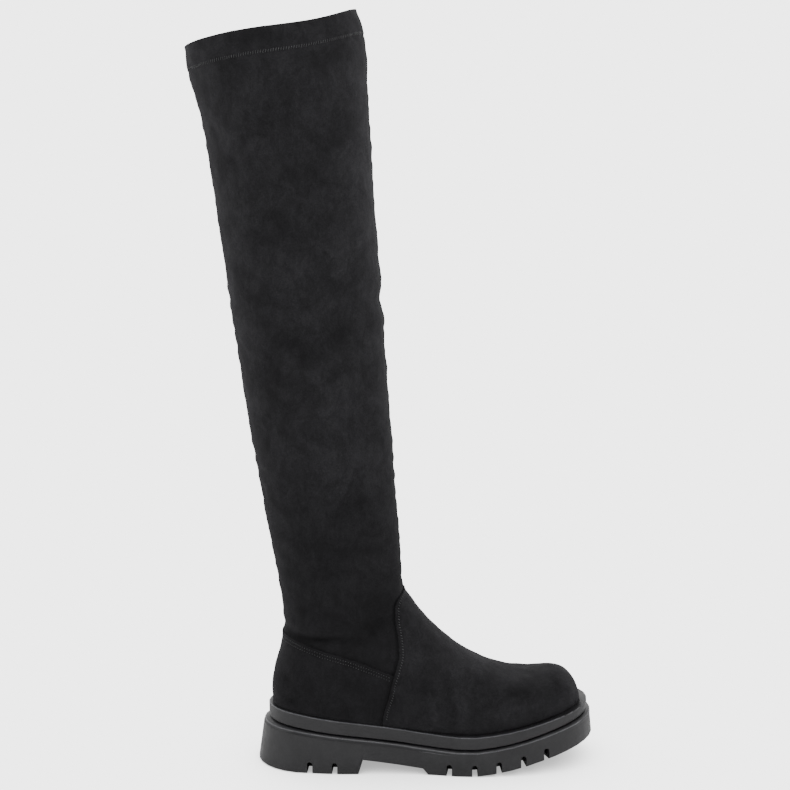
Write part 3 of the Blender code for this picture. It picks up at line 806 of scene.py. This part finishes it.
def suede_material(name, colour, tone=1.0):
    """Brushed suede: short nap that lies in patches, with a soft sheen at its edges, and the painted shade
    and highlights of the mesh's nap attribute.
    """
    if name in bpy.data.materials:
        return bpy.data.materials[name]
    made, tree, shader, coords = new_material(
        name, Sheen_Weight=0.05, Sheen_Roughness=0.7, Sheen_Tint=(0.9, 0.88, 0.93, 1), Specular_IOR_Level=0.1
    )
    mark_strength, foot_tone = 0.43, 0.60
    patches = ramp(tree, noise(tree, coords, 38, 6, 0.68, 0.6), 0.32, 0.68, 0.74, 1.26)
    flecks = ramp(tree, noise(tree, coords, 170, 4, 0.65, 0.8, (1.0, 1.0, 0.6)), 0.3, 0.7, 0.82, 1.18)
    fibres = ramp(tree, noise(tree, coords, 1000, 2, 0.7), 0.25, 0.75, 0.8, 1.2)
    place = node_in(tree, "ShaderNodeSeparateXYZ")
    tree.links.new(coords.outputs["Object"], place.inputs["Vector"])
    lower = ramp(tree, place.outputs["Z"], 0.12, 0.34, foot_tone, 1.0)
    patches = maths(tree, "MULTIPLY", patches, lower)
    # the nap attribute scales the colour: brushed nap, painted shade in creases, dents and beside the panels'
    # edges, and painted highlights on ridges
    nap_and_shading_marks = node_in(tree, "ShaderNodeAttribute", attribute_name="nap", attribute_type="GEOMETRY")
    brushed_and_shaded = maths(tree, "MULTIPLY_ADD", nap_and_shading_marks.outputs["Fac"], mark_strength * tone, tone)
    nap = maths(tree, "MULTIPLY", patches, flecks)
    amount = maths(tree, "MULTIPLY", nap, maths(tree, "MULTIPLY", fibres, brushed_and_shaded))
    tree.links.new(tinted(tree, tuple(colour), amount), shader.inputs["Base Color"])
    tree.links.new(ramp(tree, noise(tree, coords, 40, 3), 0.3, 0.7, 0.88, 1.0), shader.inputs["Roughness"])
    coarse = bumped(tree, noise(tree, coords, 160, 3, 0.6, 0.6), 0.35, 0.0006)
    fine = bumped(tree, noise(tree, coords, 1300, 3, 0.75), 0.55, 0.0003, coarse)
    tree.links.new(fine, shader.inputs["Normal"])
    return made


def cloth_material(name, colour):
    """Plain knitted lining: fine ribs in a matte cloth."""
    if name in bpy.data.materials:
        return bpy.data.materials[name]
    made, tree, shader, coords = new_material(name, Sheen_Weight=0.2, Sheen_Roughness=0.5, Roughness=0.95)
    ribs = node_in(
        tree, "ShaderNodeTexWave", wave_type="BANDS", bands_direction="X", Scale=260, Distortion=0.6
    )
    tree.links.new(coords.outputs["Object"], ribs.inputs["Vector"])
    amount = ramp(tree, noise(tree, coords, 300, 3), 0.3, 0.7, 0.8, 1.2)
    tree.links.new(tinted(tree, tuple(colour), amount), shader.inputs["Base Color"])
    tree.links.new(bumped(tree, ribs.outputs["Fac"], 0.4, 0.0004), shader.inputs["Normal"])
    return made


def rubber_material(name, colour, roughness):
    """Moulded rubber: matte, faintly grained, a little greyer in dusty patches."""
    if name in bpy.data.materials:
        return bpy.data.materials[name]
    made, tree, shader, coords = new_material(name, Specular_IOR_Level=0.5)
    dust = ramp(tree, noise(tree, coords, 30, 5, 0.65, 0.4), 0.35, 0.72, 0.88, 1.22)
    specks = ramp(tree, noise(tree, coords, 600, 2, 0.6), 0.3, 0.75, 0.93, 1.08)
    amount = maths(tree, "MULTIPLY", dust, specks)
    tree.links.new(tinted(tree, tuple(colour), amount), shader.inputs["Base Color"])
    rough = ramp(tree, noise(tree, coords, 70, 4, 0.6), 0.3, 0.7, roughness - 0.06, roughness + 0.08)
    tree.links.new(rough, shader.inputs["Roughness"])
    coarse = bumped(tree, noise(tree, coords, 220, 2), 0.12, 0.0004)
    fine = bumped(tree, noise(tree, coords, 1500, 3, 0.7), 0.3, 0.00018, coarse)
    tree.links.new(fine, shader.inputs["Normal"])
    return made


def thread_material(name, colour):
    """Spun thread, with a soft twist."""
    if name in bpy.data.materials:
        return bpy.data.materials[name]
    made, tree, shader, coords = new_material(name, Roughness=0.7, Sheen_Weight=0.3, Sheen_Roughness=0.4)
    amount = ramp(tree, noise(tree, coords, 800, 2), 0.3, 0.7, 0.75, 1.25)
    tree.links.new(tinted(tree, tuple(colour), amount), shader.inputs["Base Color"])
    tree.links.new(bumped(tree, noise(tree, coords, 2600, 2), 0.5, 0.0001), shader.inputs["Normal"])
    return made


def seen_apart(tree, seen, rest, output):
    """Shows one shader to the camera, and lights the boot with another."""
    path = node_in(tree, "ShaderNodeLightPath")
    mix = node_in(tree, "ShaderNodeMixShader")
    tree.links.new(path.outputs["Is Camera Ray"], mix.inputs["Fac"])
    tree.links.new(rest.outputs[0], mix.inputs[1])
    tree.links.new(seen.outputs[0], mix.inputs[2])
    tree.links.new(mix.outputs["Shader"], output.inputs["Surface"])


def floor_material(colour, backdrop):
    """Pale paper floor that runs into a bright backdrop, with a soft shade where the boot stands."""
    in_shade = 0.12  # brightness beside the boot, as a share of the backdrop's
    made, tree, shader, coords = new_material("floor_paper", Roughness=0.9, Specular_IOR_Level=0.1)
    shader.inputs["Base Color"].default_value = (*colour, 1)
    near = node_in(tree, "ShaderNodeAmbientOcclusion", samples=16, Distance=0.12)
    glow = node_in(tree, "ShaderNodeEmission")
    bright = ramp(tree, near.outputs["AO"], 0.0, 1.0, backdrop * in_shade, backdrop)
    tree.links.new(bright, glow.inputs["Strength"])
    seen_apart(tree, glow, shader, tree.nodes["Material Output"])
    return made


def studio_world(sky, backdrop):
    """White light that is stronger from the backdrop's side, before a bright backdrop."""
    world = bpy.data.worlds.new("studio")
    world.use_nodes = True
    tree = world.node_tree
    light = tree.nodes["Background"]
    light.inputs["Color"].default_value = (1, 1, 1, 1)
    coords = node_in(tree, "ShaderNodeTexCoord")
    way = node_in(tree, "ShaderNodeSeparateXYZ")
    tree.links.new(coords.outputs["Generated"], way.inputs["Vector"])
    tree.links.new(ramp(tree, way.outputs["Y"], -0.2, 0.5, sky, sky * 4), light.inputs["Strength"])
    wall = node_in(tree, "ShaderNodeBackground", Color=(1, 1, 1, 1), Strength=backdrop)
    seen_apart(tree, wall, light, tree.nodes["World Output"])
    return world


def one_stitch(length, thickness):
    """A single stitch as a small rounded thread, along X, with its ends bent down."""
    bend = 1.1 * thickness
    bpy.ops.object.select_all(action="DESELECT")
    bpy.ops.mesh.primitive_uv_sphere_add(segments=6, ring_count=5, radius=0.5)
    stitch = bpy.context.object
    bpy.ops.object.mode_set(mode="EDIT")
    bpy.ops.mesh.select_all(action="SELECT")
    bpy.ops.transform.rotate(value=math.pi / 2, orient_axis="Y", center_override=(0, 0, 0))
    bpy.ops.transform.resize(value=(length, thickness, thickness))
    bpy.ops.object.mode_set(mode="OBJECT")
    points = read_vectors(stitch.data, "place")
    points[:, 2] -= bend * (2 * points[:, 0] / length) ** 4
    faces = [tuple(face.vertices) for face in stitch.data.polygons]
    bpy.data.objects.remove(stitch)
    return points, faces


def sewn_row(name, places, length, slant=0.0):
    """Stitches laid one after another on places, each a point, the way along and the way out."""
    thread = bpy.context.scene.boot_thread
    shape, faces = one_stitch(length, thread.thickness)
    points, all_faces = [], []
    for spot, way, out in places:
        across = out.cross(way).normalized()
        ahead = way * math.cos(slant) + across * math.sin(slant)
        across = out.cross(ahead).normalized()
        turned = np.array([ahead, across, out])
        all_faces += [tuple(v + len(points) * len(shape) for v in face) for face in faces]
        points.append(shape @ turned + np.array(spot))
    mesh = bpy.data.meshes.new(name)
    mesh.from_pydata(np.concatenate(points).tolist(), [], all_faces)
    thing = new_object(name, mesh)
    bpy.ops.object.shade_smooth()
    return thing


def side_places(tree, path, side, step):
    """Places along a path in side view, laid on one side of the boot at even steps."""
    laid = []
    for x, z in path:
        hit = tree.ray_cast(Vector((x, side * 0.15, z)), Vector((0, -side, 0)))
        if hit[0] is not None:
            laid.append((hit[0], hit[1] if hit[1].y * side > 0 else -hit[1]))
    spots = np.array([tuple(point) for point, out in laid])
    outs = np.array([tuple(out) for point, out in laid])
    return even_places(spots, outs, length_along(spots), step)


def length_along(spots):
    """How far along a line of spots each of them is."""
    return np.concatenate([[0], np.cumsum(np.linalg.norm(np.diff(spots, axis=0), axis=1))])


def even_places(spots, outs, reach, step):
    """Spreads places at even steps of length along a laid line."""
    places = []
    for at in np.arange(step / 2, reach[-1] - step / 2, step):
        here = [np.interp(at, reach, spots[:, k]) for k in range(3)]
        ahead = [np.interp(at + step / 4, reach, spots[:, k]) for k in range(3)]
        behind = [np.interp(at - step / 4, reach, spots[:, k]) for k in range(3)]
        out = Vector([np.interp(at, reach, outs[:, k]) for k in range(3)]).normalized()
        way = (Vector(ahead) - Vector(behind)).normalized()
        places.append((Vector(here), way, out))
    return places


def ring_places(tree, rim_at, drop, step):
    """Places all round the shaft at a distance under its rim."""
    centre, outside, first_height, tries = Vector((0.018, 0, 0)), 0.2, 0.55, 4
    spots, outs = [], []
    for turn in np.linspace(0, 2 * math.pi, 241):
        way = Vector((math.cos(turn), math.sin(turn), 0))
        start = centre + way * outside
        start.z = first_height
        for _ in range(tries):
            hit = tree.ray_cast(start, -way)
            if hit[0] is None:
                break
            start.z = float(rim_at(hit[0].x, hit[0].y)) - drop
        if hit[0] is not None:
            spots.append(tuple(hit[0]))
            outs.append(tuple(hit[1] if hit[1].dot(way) > 0 else -hit[1]))
    spots, outs = np.array(spots), np.array(outs)
    reach = length_along(spots)
    return even_places(spots, outs, reach, reach[-1] / round(reach[-1] / step))


class BOOT_OT_leg(bpy.types.Operator):
    """The hollow suede upper: foot and shaft in one wall, with its lining and folded hem"""

    bl_idname = "boot.leg"
    bl_label = "Leg and foot"

    def execute(self, context):
        sizes, dip = context.scene.boot_upper, 0.0005
        leg = form_copy("leg_suede")
        press_seams(leg, dip)
        leg.data.materials.append(suede_material("suede_leg", sizes.suede))
        leg.data.materials.append(cloth_material("lining", sizes.lining))
        apply_modifier(
            leg, "SOLIDIFY", thickness=sizes.wall, offset=-1, material_offset=1, use_even_offset=False
        )
        bpy.ops.object.shade_smooth_by_angle(angle=math.radians(60))
        seat(leg, None, "upper_suede", "upper")
        return {"FINISHED"}


class BOOT_OT_vamp(bpy.types.Operator):
    """The toe and instep panel with its S-shaped back edge"""

    bl_idname = "boot.vamp"
    bl_label = "Vamp"

    def execute(self, context):
        sizes, tone = context.scene.boot_upper, 1.42
        up = np.linspace(VAMP_EDGE[-1][1], BEHIND_BAND, 48)
        edge = list(zip(vamp_place(up), up))
        past_toe, below, above = 0.260, 0.020, 0.180
        region = edge + [(0.060, below), (past_toe, below), (past_toe, above), (0.110, above)]
        vamp = panel_over("vamp_panel", region, lambda c: c.x > 0.052 and c.z < 0.165, sizes.panel)
        seat(vamp, suede_material("suede_vamp", sizes.suede, tone), "panel_suede", "vamp")
        return {"FINISHED"}


class BOOT_OT_counter(bpy.types.Operator):
    """The heel panel under its double seam"""

    bl_idname = "boot.counter"
    bl_label = "Counter"

    def execute(self, context):
        sizes, clear, below, tone = context.scene.boot_upper, 0.0003, 0.020, 0.98
        up = np.linspace(VAMP_EDGE[-1][1], BEHIND_BAND, 48)
        front = [(x, z) for x, z in zip(vamp_place(up) - clear, up) if z < counter_height(x)]
        back = COUNTER_EDGE[0][0]
        along = np.linspace(back, front[0][0], 40)
        top = list(zip(along, counter_height(along)))
        region = top + front[1:] + [(0.060, below), (back, below)]
        counter = panel_over("counter_panel", region, lambda c: c.x < 0.085 and c.z < 0.120, sizes.counter)
        seat(counter, suede_material("suede_counter", sizes.suede, tone), "panel_suede", "counter")
        return {"FINISHED"}


class BOOT_OT_stitching(bpy.types.Operator):
    """The rows of stitching along the vamp, the counter and the hem"""

    bl_idname = "boot.stitching"
    bl_label = "Stitching"

    def execute(self, context):
        thread, sizes = context.scene.boot_thread, context.scene.boot_upper
        vamp_stitch, vamp_slant = 1.8 * thread.length, math.radians(-60)
        hem_stitch, hem_step, hem_lift, hem_slant = 0.0034, 0.0019, 0.0001, math.radians(68)
        vamp_ends, counter_ends = (0.0455, 0.1465), (-0.029, 0.0700)
        material = thread_material("thread", thread.colour)
        on_vamp, on_counter = form_tree(sizes.panel), form_tree(sizes.counter)
        step = thread.length + thread.gap
        up = np.linspace(*vamp_ends, 80)
        vamp_row = list(zip(vamp_place(up) + VAMP_ROWS[0], up))
        rows = []
        for side, word in ((-1, "outer"), (1, "inner")):
            places = side_places(on_vamp, vamp_row, side, step)
            rows.append(sewn_row("vamp_stitches_" + word, places, vamp_stitch, side * vamp_slant))
            for drop, order in zip(COUNTER_ROWS, ("upper", "lower")):
                along = np.linspace(*counter_ends, 80)
                row = list(zip(along, counter_height(along) - drop))
                name = f"counter_stitches_{order}_{word}"
                rows.append(sewn_row(name, side_places(on_counter, row, side, step), thread.length))
        places = ring_places(form_tree(hem_lift), collar_line(boot_form()), sizes.hem, hem_step)
        rows.append(sewn_row("hem_stitches", places, hem_stitch, hem_slant))
        for row in rows:
            seat(row, material, "panel_suede")
        return {"FINISHED"}


class BOOT_OT_insole(bpy.types.Operator):
    """The cloth insole, finished on its CAD solid"""

    bl_idname = "boot.insole"
    bl_label = "Insole"

    def execute(self, context):
        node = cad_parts["insole"]
        node.data.materials.clear()
        node.data.materials.append(cloth_material("insole_cloth", context.scene.boot_upper.lining))
        return {"FINISHED"}


class BOOT_OT_sole(bpy.types.Operator):
    """The platform band and the lugged outsole, with soft moulded edges"""

    bl_idname = "boot.sole"
    bl_label = "Sole"

    def execute(self, context):
        sizes, shinier, rim_tilt = context.scene.boot_sole, 0.08, (0.3, 0.8)
        for node, name in (("midsole", "midsole_band"), ("outsole", "outsole_block")):
            tier = copy_of(node, name)
            tier.data.materials.append(rubber_material("rubber_" + node, sizes.rubber, sizes.roughness))
            # second slot: lighter, glossier rubber painted on the edge facets that tilt up, as a painted
            # highlight
            tier.data.materials.append(rubber_material("rubber_edge", sizes.painted_highlight, sizes.roughness - shinier))
            for face in tier.data.polygons:
                face.material_index = rim_tilt[0] < face.normal.z < rim_tilt[1]
            if node == "outsole":
                pick_flat(tier, widest_top(tier), 30)
                bpy.ops.mesh.inset(thickness=sizes.ledge, use_even_offset=True)
                bpy.ops.transform.translate(value=(0, 0, sizes.slant))
            apply_modifier(
                tier, "BEVEL", width=sizes.edge, segments=2, limit_method="ANGLE",
                angle_limit=math.radians(70), use_clamp_overlap=True,
            )
            bpy.ops.object.shade_smooth_by_angle(angle=math.radians(36))
            apply_modifier(tier, "WEIGHTED_NORMAL", keep_sharp=True)
            seat(tier, None, node + "_rubber", node)
        return {"FINISHED"}


class BOOT_OT_stage(bpy.types.Operator):
    """Pale floor, soft studio light and the camera"""

    bl_idname = "boot.stage"
    bl_label = "Stage"

    def execute(self, context):
        stage = context.scene.boot_stage
        bpy.ops.object.select_all(action="DESELECT")
        bpy.ops.mesh.primitive_plane_add(size=9, location=(0, 0, 0))
        floor = context.object
        floor.name = "floor"
        floor.data.materials.append(floor_material(stage.floor, stage.backdrop))
        context.scene.world = studio_world(stage.sky, stage.backdrop)
        aim = Vector((0.05, 0, 0.25))
        lamps = (
            ("left_softbox", (-1.5, -0.7, 0.8), (0.7, 1.0), stage.sides),
            ("right_softbox", (1.6, -0.6, 0.7), (0.7, 1.0), stage.sides),
            ("top_softbox", (0.1, -0.5, 1.8), (1.6, 0.3), stage.top),
        )
        for name, place, size, power in lamps:
            lamp = bpy.data.lights.new(name, "AREA")
            lamp.shape = "RECTANGLE"
            lamp.size, lamp.size_y = size
            lamp.energy = power
            holder = bpy.data.objects.new(name, lamp)
            holder.location = place
            holder.rotation_euler = (aim - Vector(place)).to_track_quat("-Z", "Y").to_euler()
            context.scene.collection.objects.link(holder)
        place, looks_down, field = (0.0724, -1.05, 0.50), 10.31, 33.11
        lens = bpy.data.cameras.new("camera")
        lens.sensor_width = 36
        lens.lens = lens.sensor_width / 2 / math.tan(math.radians(field / 2))
        camera = bpy.data.objects.new("camera", lens)
        camera.location = place
        camera.rotation_euler = (math.radians(90 - looks_down), 0, 0)
        context.scene.collection.objects.link(camera)
        context.scene.camera = camera
        return {"FINISHED"}


class BOOT_PT_panel(bpy.types.Panel):
    """The boot's pieces and their sizes"""

    bl_idname = "BOOT_PT_panel"
    bl_label = "Thigh High Boot"
    bl_space_type = "VIEW_3D"
    bl_region_type = "UI"
    bl_category = "Boot"

    def draw(self, context):
        for piece in OPERATORS:
            self.layout.operator(piece.bl_idname)
        for group in GROUPS:
            settings = getattr(context.scene, group)
            for key in GROUPS[group].__annotations__:
                self.layout.prop(settings, key)


OPERATORS = (
    BOOT_OT_leg,
    BOOT_OT_vamp,
    BOOT_OT_counter,
    BOOT_OT_stitching,
    BOOT_OT_insole,
    BOOT_OT_sole,
    BOOT_OT_stage,
)
GROUPS = {
    "boot_upper": UpperSizes,
    "boot_thread": ThreadSizes,
    "boot_sole": SoleSizes,
    "boot_stage": StageSizes,
}
CLASSES = (*GROUPS.values(), *OPERATORS, BOOT_PT_panel)


def register():
    for made in CLASSES:
        bpy.utils.register_class(made)
    for name, group in GROUPS.items():
        setattr(bpy.types.Scene, name, bpy.props.PointerProperty(type=group))


def unregister():
    for name in GROUPS:
        delattr(bpy.types.Scene, name)
    for made in reversed(CLASSES):
        bpy.utils.unregister_class(made)


def main():
    """Makes the whole boot and its stage."""
    register()
    bpy.ops.boot.leg()
    bpy.ops.boot.vamp()
    bpy.ops.boot.counter()
    bpy.ops.boot.stitching()
    bpy.ops.boot.insole()
    bpy.ops.boot.sole()
    bpy.ops.boot.stage()
    if "boot_form" in bpy.data.meshes:
        bpy.data.meshes.remove(bpy.data.meshes["boot_form"])


if __name__ == "__main__":
    main()
